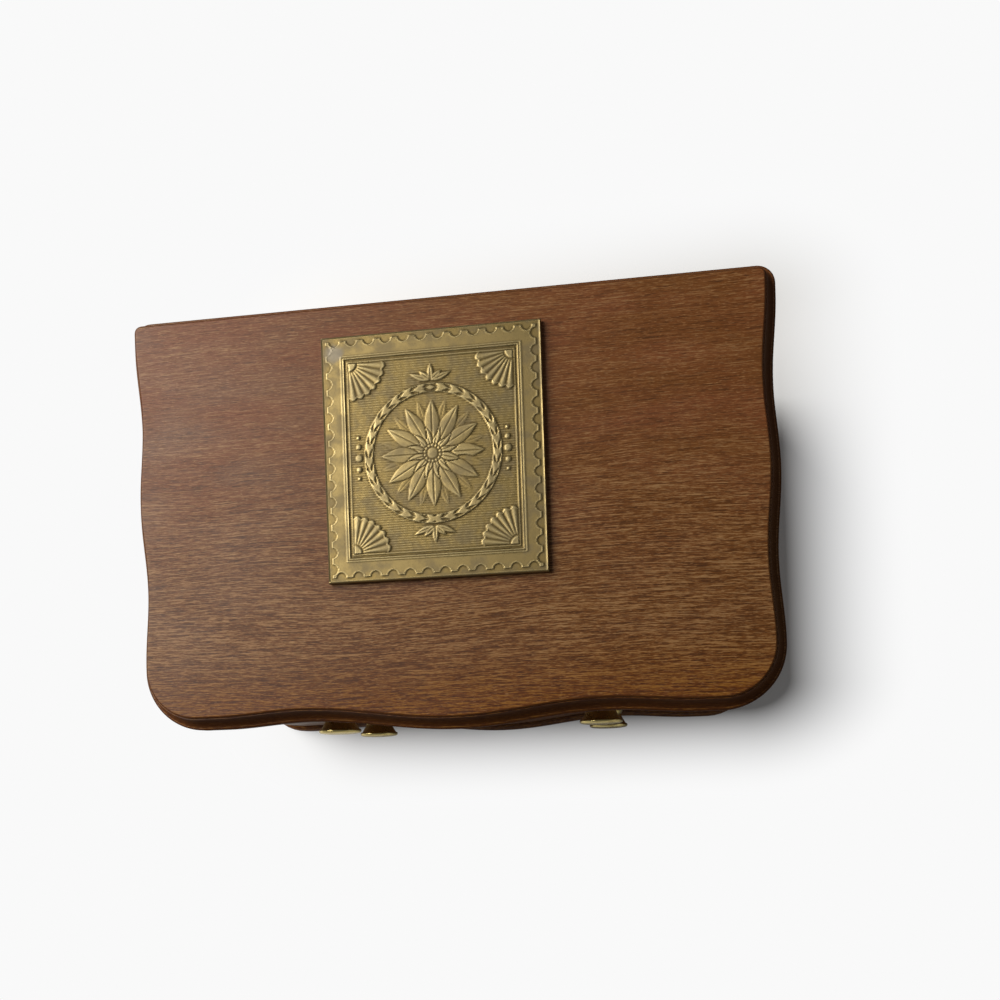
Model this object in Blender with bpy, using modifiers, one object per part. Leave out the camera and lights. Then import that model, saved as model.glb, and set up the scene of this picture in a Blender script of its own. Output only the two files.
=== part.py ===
# Two-drawer trinket chest with a serpentine front, a cove-moulded top board and a brass relief plaque.
# Metres, +Z up. The front faces -Y and the drawers slide out along -Y.
# The origin is on the floor under the middle of the top board.

import math

import bmesh
import bpy
from mathutils import Matrix, Vector

# Fits
SEAT = 0.0003                 # gap between two pieces that rest on or against each other
REVEAL = 0.0005               # line of shadow above and below a drawer front
SIDE_PLAY = 0.0004            # gap between a drawer and the wall of its bay
HOLE_PLAY = 0.0003            # radial play of a screw in its hole

# Top board
TOP_WIDTH = 0.1828
TOP_DEPTH = 0.1211
TOP_THICKNESS = 0.0095
FRONT_CORNER_RADIUS = 0.0174
BACK_CORNER_RADIUS = 0.0050

# Serpentine line of the front: a bow in the middle, a hollow on each side, then a lobe before the corner
HOLLOW_X = 0.0430             # from the middle of the front to the deepest point of a hollow
HOLLOW_DEPTH = 0.0036         # how far a hollow lies behind the bow
LOBE_SETBACK = 0.0023         # how far a lobe lies behind the bow
LOBE_FLAT = 0.0060            # straight stretch between a lobe and its corner

# Wave of the sides
WAVE_PITCH = 0.0470
WAVE_DEPTH = 0.0014

# Moulding of the top board, from its outer lip to the upper face
LIP_HEIGHT = 0.0034
LIP_ARRIS = 0.0003
COVE_WIDTH = 0.0024
COVE_HEIGHT = 0.0048
QUIRK_WIDTH = 0.0003
TOP_EASING = 0.0005           # rounding of the edge of the upper face

# Carcass
TOP_OVERHANG = 0.0036         # from the lip of the top board in to the walls
BASE_PROJECTION = 0.0019      # from the walls out to the edge of the base board
BASE_THICKNESS = 0.0055
BASE_EDGE_RADIUS = 0.0018
SIDE_THICKNESS = 0.0064       # at the hollows of its wave
BACK_THICKNESS = 0.0050
DIVIDER_THICKNESS = 0.0060
DIVIDER_SETBACK = 0.0006      # from the drawer fronts back to the divider's edge
HOUSING_DEPTH = 0.0025        # how deep the divider and the back panel are let into the sides

# Drawers
LOWER_FRONT_HEIGHT = 0.0390
UPPER_FRONT_HEIGHT = 0.0300
FRONT_THICKNESS = 0.0080      # at the bottom of a hollow
FRONT_EASING = 0.0008
DRAWER_WALL = 0.0050
DRAWER_WALL_DROP = 0.0032     # from the top of a drawer front down to the top of its walls
FRONT_REBATE = 0.0030         # length of a side wall that is let into the drawer front
BACK_CLEARANCE = 0.0010       # from a drawer's back wall to the back panel
PANEL_THICKNESS = 0.0030
PANEL_LIFT = 0.0022           # from the lower edge of the walls up to the bottom panel
GROOVE_DEPTH = 0.0025
LINING_THICKNESS = 0.0010
LINING_MARGIN = 0.0006

# Knobs and their screws
KNOB_X = 0.0398
KNOB_RADIUS = 0.00635
KNOB_NECK_RADIUS = 0.0043
KNOB_SHOULDER_RADIUS = 0.0049
KNOB_LENGTH = 0.0064
KNOB_RIM = 0.0012
KNOB_DOME = 0.0005
KNOB_BORE_DEPTH = 0.0042
SCREW_RADIUS = 0.0015
SCREW_HEAD_RADIUS = 0.0032
SCREW_HEAD_HEIGHT = 0.0018
SCREW_GRIP = 0.0034           # length of screw inside the knob
SLOT_WIDTH = 0.0008
SLOT_DEPTH = 0.0008

# Base screws and felt pads
BASE_SCREW_FROM_END = 0.0275  # from the front and back of the top board in to the screws
BASE_SCREW_LENGTH = 0.0160
BASE_SCREW_HEAD_RADIUS = 0.0031
PAD_RADIUS = 0.0065
PAD_THICKNESS = 0.0012
PAD_FROM_SIDE = 0.0190        # from the sides of the top board in to the middle of a pad
PAD_FROM_END = 0.0165

# Brass plaque
PLAQUE_WIDTH = 0.0614
PLAQUE_DEPTH = 0.0679
PLAQUE_THICKNESS = 0.0016
PLAQUE_X = -0.0020
PLAQUE_FROM_BACK = 0.0121     # from the back lip of the top board to the plaque
PLAQUE_RELIEF = 0.0005
PLAQUE_RIM = 0.0014
SCALLOP_RADIUS = 0.0015
SCALLOP_BOW = 0.0002          # the middle of each row stands this much further in than its ends
SCALLOPS_ACROSS = 12
SCALLOPS_DEEP = 14
FRAME_MARGIN = 0.0062         # from the plaque's edge to its inner frame
FRAME_BAR = 0.0011
WREATH_RADIUS = 0.0190
WREATH_BAR = 0.0022

# Fineness of curved outlines
FRONT_STEPS = 22
CORNER_STEPS = 10
BACK_CORNER_STEPS = 4
SIDE_STEPS = 20
COVE_STEPS = 5
KNOB_STEPS = 24
SCREW_STEPS = 16
PAD_STEPS = 24
SCALLOP_STEPS = 4
WREATH_STEPS = 40

# Levels and planes that follow from the sizes above
BASE_Z = PAD_THICKNESS + SEAT
BASE_TOP = BASE_Z + BASE_THICKNESS
LOWER_FRONT_Z = BASE_TOP + REVEAL
DIVIDER_Z = LOWER_FRONT_Z + LOWER_FRONT_HEIGHT + REVEAL
DIVIDER_TOP = DIVIDER_Z + DIVIDER_THICKNESS
UPPER_FRONT_Z = DIVIDER_TOP + REVEAL
TOP_Z = UPPER_FRONT_Z + UPPER_FRONT_HEIGHT + REVEAL
TOP_FACE = TOP_Z + TOP_THICKNESS
HALF_WIDTH = TOP_WIDTH / 2
HALF_DEPTH = TOP_DEPTH / 2
SIDE_INNER_X = HALF_WIDTH - TOP_OVERHANG - WAVE_DEPTH - SIDE_THICKNESS
CORNER_X = HALF_WIDTH - FRONT_CORNER_RADIUS
CORNER_Y = -HALF_DEPTH + LOBE_SETBACK + FRONT_CORNER_RADIUS
WALL_BACK = HALF_DEPTH - TOP_OVERHANG
BACK_PANEL_Y = WALL_BACK - BACK_THICKNESS
FRONT_REAR_Y = -HALF_DEPTH + HOLLOW_DEPTH + TOP_OVERHANG + FRONT_THICKNESS
DRAWER_HALF = SIDE_INNER_X - SIDE_PLAY
DRAWER_BACK_Y = BACK_PANEL_Y - BACK_CLEARANCE

SIDES = (("left", -1), ("right", 1))
ENDS = (("front", -1), ("back", 1))

# Colours and finish of the materials: red, green, blue, roughness, metallic
FINISHES = {
    "oiled_walnut": (0.165, 0.072, 0.036, 0.45, 0.0),
    "drawer_wood": (0.330, 0.190, 0.095, 0.60, 0.0),
    "aged_brass": (0.330, 0.235, 0.090, 0.38, 1.0),
    "polished_brass": (0.720, 0.540, 0.230, 0.22, 1.0),
    "plated_steel": (0.560, 0.560, 0.540, 0.35, 1.0),
    "green_felt": (0.030, 0.085, 0.045, 0.95, 0.0),
}


# Scene, materials and objects

def clear_scene():
    for thing in list(bpy.data.objects):
        bpy.data.objects.remove(thing, do_unlink=True)


def new_collection(name):
    collection = bpy.data.collections.new(name)
    bpy.context.scene.collection.children.link(collection)
    return collection


def new_material(name):
    red, green, blue, roughness, metallic = FINISHES[name]
    material = bpy.data.materials.new(name)
    material.use_nodes = True
    shader = material.node_tree.nodes["Principled BSDF"]
    shader.inputs["Base Color"].default_value = (red, green, blue, 1.0)
    shader.inputs["Roughness"].default_value = roughness
    shader.inputs["Metallic"].default_value = metallic
    return material


def add_object(name, mesh, material, parent=None):
    thing = bpy.data.objects.new(name, mesh)
    parts.objects.link(thing)
    mesh.materials.clear()
    mesh.materials.append(materials[material])
    thing.parent = parent
    if parent is not None:
        thing.matrix_parent_inverse = parent.matrix_world.inverted()
    return thing


def add_cutter(name, mesh):
    thing = bpy.data.objects.new(name, mesh)
    cutters.objects.link(thing)
    thing.hide_render = True
    thing.display_type = "WIRE"
    return thing


def combine(target, other, operation="DIFFERENCE"):
    boolean = target.modifiers.new(operation.lower(), "BOOLEAN")
    boolean.operation = operation
    boolean.solver = "EXACT"
    boolean.object = other


# Plain shapes

def mesh_from(shape, name):
    mesh = bpy.data.meshes.new(name)
    shape.to_mesh(mesh)
    shape.free()
    return mesh


def evaluated_mesh(sketch):
    # The mesh that an object's curve or modifiers make; the object itself goes
    bpy.context.scene.collection.objects.link(sketch)
    bpy.context.view_layer.update()
    mesh = bpy.data.meshes.new_from_object(sketch.evaluated_get(bpy.context.evaluated_depsgraph_get()))
    bpy.data.objects.remove(sketch)
    return mesh


def plate_mesh(name, points, low, high):
    # A closed outline seen from above, drawn as a flat curve with thickness, with one face on each side
    curve = bpy.data.curves.new(name, "CURVE")
    curve.dimensions = "2D"
    curve.fill_mode = "BOTH"
    curve.extrude = (high - low) / 2
    spline = curve.splines.new("POLY")
    spline.points.add(len(points) - 1)
    for place, (x, y) in zip(spline.points, points):
        place.co = (x, y, 0.0, 1.0)
    spline.use_cyclic_u = True
    shape = bmesh.new()
    shape.from_mesh(evaluated_mesh(bpy.data.objects.new(name, curve)))
    bmesh.ops.remove_doubles(shape, verts=shape.verts, dist=0.00001)
    for side in (1.0, -1.0):
        flat = [face for face in shape.faces if face.normal.z * side > 0.9]
        bmesh.ops.dissolve_faces(shape, faces=flat, use_verts=False)
    bmesh.ops.recalc_face_normals(shape, faces=shape.faces)
    bmesh.ops.translate(shape, verts=shape.verts, vec=(0.0, 0.0, (low + high) / 2))
    return mesh_from(shape, name)


def box_mesh(name, low, high):
    low, high = Vector(low), Vector(high)
    shape = bmesh.new()
    bmesh.ops.create_cube(shape, size=1.0)
    bmesh.ops.scale(shape, vec=high - low, verts=shape.verts)
    bmesh.ops.translate(shape, vec=(low + high) / 2, verts=shape.verts)
    return mesh_from(shape, name)


def cylinder_mesh(name, radius, length, steps, place):
    # Centred on the place, which may turn it
    shape = bmesh.new()
    bmesh.ops.create_cone(
        shape, cap_ends=True, segments=steps, radius1=radius, radius2=radius, depth=length,
        matrix=place)
    return mesh_from(shape, name)


def turned_mesh(name, profile, steps):
    # Profile points are (radius, height), from the top of the axis down the outer side
    outline = bpy.data.meshes.new(name)
    edges = [(i, i + 1) for i in range(len(profile) - 1)]
    outline.from_pydata([(radius, 0.0, height) for radius, height in profile], edges, [])
    sketch = bpy.data.objects.new(name, outline)
    turn = sketch.modifiers.new("turn", "SCREW")
    turn.axis = "Z"
    turn.angle = math.tau
    turn.steps = steps
    turn.render_steps = steps
    turn.use_merge_vertices = True
    turn.merge_threshold = 0.00001
    mesh = evaluated_mesh(sketch)
    mesh.shade_smooth()
    mesh.set_sharp_from_angle(angle=math.radians(35))
    return mesh


# Plan of the chest, seen from above

def front_setback(x):
    # How far the serpentine line lies behind the bow at a distance x from the middle
    x = abs(x)
    lobe_x = CORNER_X - LOBE_FLAT
    if x < HOLLOW_X:
        return HOLLOW_DEPTH * (1.0 - math.cos(math.pi * x / HOLLOW_X)) / 2
    if x < lobe_x:
        along = (x - HOLLOW_X) / (lobe_x - HOLLOW_X)
        return HOLLOW_DEPTH - (HOLLOW_DEPTH - LOBE_SETBACK) * (1.0 - math.cos(math.pi * along)) / 2
    return LOBE_SETBACK


def side_setback(y):
    # How far the side lies inside its crests, from the front corner to the last crest; the rest is straight
    crests = math.floor((HALF_DEPTH - BACK_CORNER_RADIUS - CORNER_Y) / WAVE_PITCH)
    along = (y - CORNER_Y) / WAVE_PITCH
    if along >= crests:
        return 0.0
    return WAVE_DEPTH * (1.0 - math.cos(math.tau * along)) / 2


def arc(center_x, center_y, radius, start, end, steps):
    angles = [start + (end - start) * i / steps for i in range(steps + 1)]
    return [(center_x + radius * math.cos(a), center_y + radius * math.sin(a)) for a in angles]


def right_half(inset):
    # From the middle of the front, round the right side, to the back right corner
    points = []
    for i in range(FRONT_STEPS + 1):
        x = (CORNER_X - LOBE_FLAT) * i / FRONT_STEPS
        points.append((x, -HALF_DEPTH + front_setback(x) + inset))
    radius = FRONT_CORNER_RADIUS - inset
    points += arc(CORNER_X, CORNER_Y, radius, -math.pi / 2, 0.0, CORNER_STEPS)
    back_radius = max(BACK_CORNER_RADIUS - inset, BACK_CORNER_RADIUS / 8)
    back_y = HALF_DEPTH - inset - back_radius
    for i in range(1, SIDE_STEPS):
        y = CORNER_Y + (back_y - CORNER_Y) * i / SIDE_STEPS
        points.append((HALF_WIDTH - inset - side_setback(y), y))
    back_x = HALF_WIDTH - inset - back_radius
    points += arc(back_x, back_y, back_radius, 0.0, math.pi / 2, BACK_CORNER_STEPS)
    return points


def mirrored(points):
    return [(-x, y) for x, y in reversed(points)]


def full_outline(inset):
    right = right_half(inset)
    return right + mirrored(right)[:-1]


def between(first, second, x):
    share = (x - first[0]) / (second[0] - first[0])
    return (x, first[1] + (second[1] - first[1]) * share)


def front_line(inset, half_width):
    # The serpentine line from -half_width to half_width
    right = []
    outline = right_half(inset)
    for here, ahead in zip(outline, outline[1:]):
        right.append(here)
        if ahead[0] >= half_width:
            right.append(between(here, ahead, half_width))
            break
    return mirrored(right)[:-1] + right


def side_outline(inset, inner_x):
    # The right side from its inner face, round the front corner and along the wave, to the back
    outline = right_half(inset) + [(0.0, HALF_DEPTH - inset)]
    points = []
    for here, ahead in zip(outline, outline[1:]):
        if here[0] < inner_x <= ahead[0]:
            points.append(between(here, ahead, inner_x))
        if here[0] >= inner_x:
            points.append(here)
        if here[0] >= inner_x > ahead[0]:
            points.append(between(here, ahead, inner_x))
    return points


# Carcass

def moulding_steps():
    # Each step is (distance in, distance up), from the top of the lip to the upper face
    steps = [(LIP_ARRIS, LIP_ARRIS)]
    before = (0.0, 0.0)
    for i in range(1, COVE_STEPS + 1):
        angle = math.pi / 2 * i / COVE_STEPS
        here = (COVE_WIDTH * math.sin(angle), COVE_HEIGHT * (1.0 - math.cos(angle)))
        steps.append((here[0] - before[0], here[1] - before[1]))
        before = here
    rise = TOP_THICKNESS - LIP_HEIGHT - LIP_ARRIS - COVE_HEIGHT - TOP_EASING
    steps.append((QUIRK_WIDTH, 0.0))
    steps.append((0.0, rise))
    steps.append((TOP_EASING * 0.3, TOP_EASING * 0.7))
    steps.append((TOP_EASING * 0.7, TOP_EASING * 0.3))
    return steps


def make_top_board():
    shape = bmesh.new()
    shape.from_mesh(plate_mesh("lip", full_outline(0.0), TOP_Z, TOP_Z + LIP_HEIGHT))
    lower_rim = [edge for edge in shape.edges if max(v.co.z for v in edge.verts) < TOP_Z + SEAT]
    bmesh.ops.bevel(
        shape, geom=lower_rim, offset=LIP_ARRIS, offset_type="OFFSET", affect="EDGES", segments=1,
        profile=0.5)
    upper = [face for face in shape.faces if face.normal.z > 0.9]
    for inward, upward in moulding_steps():
        if inward > 0.0:
            bmesh.ops.inset_region(shape, faces=upper, thickness=inward, use_even_offset=True)
        else:
            risen = bmesh.ops.extrude_face_region(shape, geom=upper)["geom"]
            bmesh.ops.delete(shape, geom=upper, context="FACES")
            upper = [face for face in risen if isinstance(face, bmesh.types.BMFace)]
        corners = {vert for face in upper for vert in face.verts}
        bmesh.ops.translate(shape, verts=list(corners), vec=(0.0, 0.0, upward))
    mesh = mesh_from(shape, "top_board")
    mesh.shade_smooth()
    mesh.set_sharp_from_angle(angle=math.radians(30))
    return add_object("top_board", mesh, "oiled_walnut")


def make_base_board():
    outline = full_outline(TOP_OVERHANG - BASE_PROJECTION)
    shape = bmesh.new()
    shape.from_mesh(plate_mesh("base", outline, BASE_Z, BASE_TOP))
    rim = [edge for edge in shape.edges if min(v.co.z for v in edge.verts) > BASE_TOP - SEAT]
    bmesh.ops.bevel(
        shape, geom=rim, offset=BASE_EDGE_RADIUS, offset_type="OFFSET", affect="EDGES", segments=3,
        profile=0.5)
    board = add_object("base_board", mesh_from(shape, "base_board"), "oiled_walnut")
    # Countersunk holes: a straight bore that opens at 45 degrees to the mouth in the underside
    bore = SCREW_RADIUS + HOLE_PLAY
    mouth = BASE_SCREW_HEAD_RADIUS + SEAT + HOLE_PLAY
    above, below = 2 * BASE_THICKNESS, BASE_THICKNESS
    profile = [(0.0, above), (bore, above), (bore, mouth - bore), (mouth + below, -below), (0.0, -below)]
    mesh = turned_mesh("countersunk hole", profile, SCREW_STEPS)
    for name, (x, y) in base_screw_places().items():
        hole = add_cutter(name + " hole", mesh)
        hole.location = (x, y, BASE_Z)
        combine(board, hole)
    return board


def base_screw_places():
    # Up through the base board into the middle of the side walls
    wall_x = (SIDE_INNER_X + HALF_WIDTH - TOP_OVERHANG - WAVE_DEPTH) / 2
    wall_y = HALF_DEPTH - BASE_SCREW_FROM_END
    return {
        f"base_screw_{end}_{side}": (sx * wall_x, sy * wall_y)
        for end, sy in ENDS for side, sx in SIDES}


def make_side(name, direction):
    outline = side_outline(TOP_OVERHANG, SIDE_INNER_X)
    if direction < 0:
        outline = mirrored(outline)
    low, high = BASE_TOP + SEAT, TOP_Z - SEAT
    side = add_object(name, plate_mesh(name, outline, low, high), "oiled_walnut")
    inner, housed = sorted((direction * (SIDE_INNER_X - REVEAL), direction * (SIDE_INNER_X + HOUSING_DEPTH)))
    rebate_y = BACK_PANEL_Y - SEAT
    housing = box_mesh(
        name + " housing", (inner, -TOP_DEPTH, DIVIDER_Z - SEAT), (housed, rebate_y, DIVIDER_TOP + SEAT))
    combine(side, add_cutter(name + " housing", housing))
    rebate = box_mesh(
        name + " rebate", (inner, rebate_y, low - BASE_THICKNESS), (housed, TOP_DEPTH, high + TOP_THICKNESS))
    combine(side, add_cutter(name + " rebate", rebate))
    hole_radius = SCREW_RADIUS + HOLE_PLAY
    for screw, (x, y) in base_screw_places().items():
        if x * direction > 0:
            place = Matrix.Translation((x, y, BASE_Z + SEAT))
            length = 2 * (BASE_SCREW_LENGTH + SEAT)
            pilot = cylinder_mesh(screw + " pilot", hole_radius, length, SCREW_STEPS, place)
            combine(side, add_cutter(screw + " pilot", pilot))
    return side


def make_back_panel():
    half = SIDE_INNER_X + HOUSING_DEPTH - SEAT
    mesh = box_mesh("back_panel", (-half, BACK_PANEL_Y, BASE_TOP + SEAT), (half, WALL_BACK, TOP_Z - SEAT))
    return add_object("back_panel", mesh, "oiled_walnut")


def make_divider():
    half = SIDE_INNER_X + HOUSING_DEPTH - SEAT
    back = BACK_PANEL_Y - 2 * SEAT
    outline = front_line(TOP_OVERHANG + DIVIDER_SETBACK, half) + [(half, back), (-half, back)]
    mesh = plate_mesh("drawer_divider", outline, DIVIDER_Z, DIVIDER_TOP)
    return add_object("drawer_divider", mesh, "oiled_walnut")


def make_base_screws():
    # The slotted face of the head lies at the level 0 and the tip points along +Z
    head, shank, tip = BASE_SCREW_HEAD_RADIUS, SCREW_RADIUS, BASE_SCREW_LENGTH
    profile = [
        (0.0, tip), (shank * 0.3, tip - shank * 0.5), (shank, tip - 2 * shank), (shank, head - shank),
        (head, 0.0), (0.0, 0.0)]
    mesh = turned_mesh("base screw", profile, SCREW_STEPS)
    for name, (x, y) in base_screw_places().items():
        screw = add_object(name, mesh, "plated_steel")
        screw.location = (x, y, BASE_Z + SEAT)
        slot = box_mesh(
            name + " slot", (x - SLOT_WIDTH / 2, y - 2 * head, BASE_Z - SLOT_DEPTH),
            (x + SLOT_WIDTH / 2, y + 2 * head, BASE_Z + SEAT + SLOT_DEPTH))
        combine(screw, add_cutter(name + " slot", slot))


def make_felt_pads():
    mesh = cylinder_mesh("felt pad", PAD_RADIUS, PAD_THICKNESS, PAD_STEPS, Matrix.Identity(4))
    x, y = HALF_WIDTH - PAD_FROM_SIDE, HALF_DEPTH - PAD_FROM_END
    for end, sy in ENDS:
        for side, sx in SIDES:
            pad = add_object(f"felt_pad_{end}_{side}", mesh, "green_felt")
            pad.location = (sx * x, sy * y, PAD_THICKNESS / 2)


# Drawers

def make_drawer(level, front_z, front_height, floor_z):
    name = level + "_drawer"
    slide = bpy.data.objects.new(name + "_slide", None)
    parts.objects.link(slide)
    slide.location = (0.0, FRONT_REAR_Y, front_z + front_height / 2)
    bpy.context.view_layer.update()
    wall_z = floor_z + SEAT
    wall_top = front_z + front_height - DRAWER_WALL_DROP
    panel_z = wall_z + PANEL_LIFT
    make_front(name, front_z, front_height, panel_z, slide)
    make_drawer_walls(name, wall_z, wall_top, panel_z, slide)
    make_drawer_floor(name, panel_z, slide)
    for side, direction in SIDES:
        x, z = direction * KNOB_X, front_z + front_height / 2
        knob = add_object(f"{level}_{side}_knob", knob_mesh, "polished_brass", slide)
        knob.matrix_world = facing_forward(x, knob_seat_y(), z)
        make_knob_screw(f"{level}_{side}_knob_screw", x, z, slide)


def facing_forward(x, y, z):
    # Turns a piece made about Z to point out of the drawer front
    return Matrix.Translation((x, y, z)) @ Matrix.Rotation(math.pi / 2, 4, "X")


def make_front(name, front_z, front_height, panel_z, slide):
    # The back of the front is narrower than its face: the side walls come forward into the rebates
    rebate_x = DRAWER_HALF - DRAWER_WALL - SEAT
    rebate_y = FRONT_REAR_Y - FRONT_REBATE
    outline = front_line(TOP_OVERHANG, DRAWER_HALF)
    outline += [(DRAWER_HALF, rebate_y), (rebate_x, rebate_y), (rebate_x, FRONT_REAR_Y)]
    outline += [(-rebate_x, FRONT_REAR_Y), (-rebate_x, rebate_y), (-DRAWER_HALF, rebate_y)]
    shape = bmesh.new()
    shape.from_mesh(plate_mesh(name, outline, front_z, front_z + front_height))
    face_edges = [edge for edge in shape.edges if is_level(edge) and on_face(edge, rebate_y)]
    bmesh.ops.bevel(
        shape, geom=face_edges, offset=FRONT_EASING, offset_type="OFFSET", affect="EDGES", segments=2,
        profile=0.5)
    front = add_object(name + "_front", mesh_from(shape, name + "_front"), "oiled_walnut", slide)
    groove = box_mesh(
        name + " front groove", (-rebate_x - REVEAL, FRONT_REAR_Y - GROOVE_DEPTH, panel_z - SEAT),
        (rebate_x + REVEAL, FRONT_REAR_Y + GROOVE_DEPTH, panel_z + PANEL_THICKNESS + SEAT))
    combine(front, add_cutter(name + " front groove", groove))
    hole_radius = SCREW_RADIUS + HOLE_PLAY
    length = 2 * (FRONT_THICKNESS + HOLLOW_DEPTH + KNOB_LENGTH)
    for side, direction in SIDES:
        place = facing_forward(direction * KNOB_X, FRONT_REAR_Y, front_z + front_height / 2)
        hole = cylinder_mesh(f"{name} {side} hole", hole_radius, length, SCREW_STEPS, place)
        combine(front, add_cutter(f"{name} {side} hole", hole))
    return front


def is_level(edge):
    return abs(edge.verts[0].co.z - edge.verts[1].co.z) < SEAT


def on_face(edge, rebate_y):
    # The serpentine face is all that lies ahead of the rebates
    return all(vert.co.y < rebate_y - SEAT for vert in edge.verts)


def make_drawer_walls(name, wall_z, wall_top, panel_z, slide):
    inner = DRAWER_HALF - DRAWER_WALL
    front_end = FRONT_REAR_Y - FRONT_REBATE + SEAT
    groove_low, groove_high = panel_z - SEAT, panel_z + PANEL_THICKNESS + SEAT
    for side, direction in SIDES:
        node = f"{name}_{side}_wall"
        low_x, high_x = sorted((direction * inner, direction * DRAWER_HALF))
        mesh = box_mesh(node, (low_x, front_end, wall_z), (high_x, DRAWER_BACK_Y, wall_top))
        wall = add_object(node, mesh, "drawer_wood", slide)
        low_x, high_x = sorted((direction * (inner - REVEAL), direction * (inner + GROOVE_DEPTH)))
        groove = box_mesh(
            node + " groove", (low_x, front_end - DRAWER_WALL, groove_low),
            (high_x, DRAWER_BACK_Y + DRAWER_WALL, groove_high))
        combine(wall, add_cutter(node + " groove", groove))
    half = inner - SEAT
    node = name + "_back_wall"
    mesh = box_mesh(node, (-half, DRAWER_BACK_Y - DRAWER_WALL, groove_high), (half, DRAWER_BACK_Y, wall_top))
    add_object(node, mesh, "drawer_wood", slide)


def make_drawer_floor(name, panel_z, slide):
    # The panel lies in the grooves of the side walls, with a narrower tongue in the groove of the front
    half = DRAWER_HALF - DRAWER_WALL + GROOVE_DEPTH - SEAT
    neck = DRAWER_HALF - DRAWER_WALL - 2 * SEAT
    tongue = FRONT_REAR_Y - GROOVE_DEPTH + SEAT
    shoulder = FRONT_REAR_Y + SEAT
    outline = [
        (-neck, tongue), (neck, tongue), (neck, shoulder), (half, shoulder),
        (half, DRAWER_BACK_Y), (-half, DRAWER_BACK_Y), (-half, shoulder), (-neck, shoulder)]
    panel = plate_mesh(name + "_bottom", outline, panel_z, panel_z + PANEL_THICKNESS)
    add_object(name + "_bottom", panel, "drawer_wood", slide)
    inner = DRAWER_HALF - DRAWER_WALL - LINING_MARGIN
    low = panel_z + PANEL_THICKNESS + SEAT
    lining = box_mesh(
        name + "_lining", (-inner, FRONT_REAR_Y + LINING_MARGIN, low),
        (inner, DRAWER_BACK_Y - DRAWER_WALL - LINING_MARGIN, low + LINING_THICKNESS))
    add_object(name + "_lining", lining, "green_felt", slide)


def make_knob_mesh():
    # Its base lies at the level 0 and its face points along +Z
    bore = SCREW_RADIUS + HOLE_PLAY
    rim_top = KNOB_LENGTH - KNOB_DOME
    rim_low = rim_top - KNOB_RIM
    profile = [
        (0.0, KNOB_LENGTH), (KNOB_RADIUS * 0.55, KNOB_LENGTH - KNOB_DOME * 0.3),
        (KNOB_RADIUS * 0.93, rim_top), (KNOB_RADIUS, rim_top - KNOB_RIM * 0.3),
        (KNOB_RADIUS, rim_low + KNOB_RIM * 0.3),
        (KNOB_RADIUS * 0.95, rim_low), (KNOB_SHOULDER_RADIUS, rim_low), (KNOB_SHOULDER_RADIUS, rim_low * 0.8),
        (KNOB_NECK_RADIUS, rim_low * 0.45), (KNOB_SHOULDER_RADIUS, rim_low * 0.15),
        (KNOB_SHOULDER_RADIUS, 0.0), (bore, 0.0), (bore, KNOB_BORE_DEPTH), (0.0, KNOB_BORE_DEPTH)]
    return turned_mesh("drawer knob", profile, KNOB_STEPS)


def knob_seat_y():
    # The knob rests on the foremost part of the curved front that lies under it
    across = (KNOB_X - KNOB_SHOULDER_RADIUS, KNOB_X, KNOB_X + KNOB_SHOULDER_RADIUS)
    return -HALF_DEPTH + TOP_OVERHANG + min(front_setback(x) for x in across) - SEAT


def make_screw_mesh():
    # The underside of its head lies at the level 0 and its tip points along +Z
    reach = FRONT_REAR_Y + SEAT - knob_seat_y() + SCREW_GRIP
    head, shank = SCREW_HEAD_RADIUS, SCREW_RADIUS
    profile = [
        (0.0, reach), (shank * 0.8, reach), (shank, reach - shank * 0.3), (shank, 0.0), (head, 0.0),
        (head, -SCREW_HEAD_HEIGHT * 0.6), (head * 0.75, -SCREW_HEAD_HEIGHT), (0.0, -SCREW_HEAD_HEIGHT)]
    return turned_mesh("knob screw", profile, SCREW_STEPS)


def make_knob_screw(node, x, z, slide):
    screw = add_object(node, screw_mesh, "plated_steel", slide)
    seat = FRONT_REAR_Y + SEAT
    screw.matrix_world = facing_forward(x, seat, z)
    reach = 2 * SCREW_HEAD_RADIUS
    slot = box_mesh(
        node + " slot", (x - SLOT_WIDTH / 2, seat + SCREW_HEAD_HEIGHT - SLOT_DEPTH, z - reach),
        (x + SLOT_WIDTH / 2, seat + 2 * SCREW_HEAD_HEIGHT, z + reach))
    combine(screw, add_cutter(node + " slot", slot))


# Brass plaque

def plaque_center():
    return (PLAQUE_X, HALF_DEPTH - PLAQUE_FROM_BACK - PLAQUE_DEPTH / 2)


def rectangle(half_x, half_y):
    cx, cy = plaque_center()
    return [(cx + sx * half_x, cy + sy * half_y) for sx, sy in ((-1, -1), (1, -1), (1, 1), (-1, 1))]


def circle(radius):
    cx, cy = plaque_center()
    return arc(cx, cy, radius, 0.0, math.tau, WREATH_STEPS)[:-1]


def scalloped_outline():
    # The field inside the rim, with a row of half-round lobes of the rim along each edge
    cx, cy = plaque_center()
    half_x, half_y = PLAQUE_WIDTH / 2 - PLAQUE_RIM, PLAQUE_DEPTH / 2 - PLAQUE_RIM
    edges = ((half_x, half_y, SCALLOPS_ACROSS), (half_y, half_x, SCALLOPS_DEEP)) * 2
    points = []
    for turn, (along, across, count) in enumerate(edges):
        edge = [(-along, -across)]
        pitch = 2 * along / count
        for i in range(count):
            middle = -along + pitch * (i + 0.5)
            rise = SCALLOP_BOW * (1.0 - (middle / along) ** 2)
            edge += arc(middle, -across + rise, SCALLOP_RADIUS, math.pi, 0.0, SCALLOP_STEPS)
        cos, sin = math.cos(turn * math.pi / 2), math.sin(turn * math.pi / 2)
        points += [(cx + x * cos - y * sin, cy + x * sin + y * cos) for x, y in edge]
    return points


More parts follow.
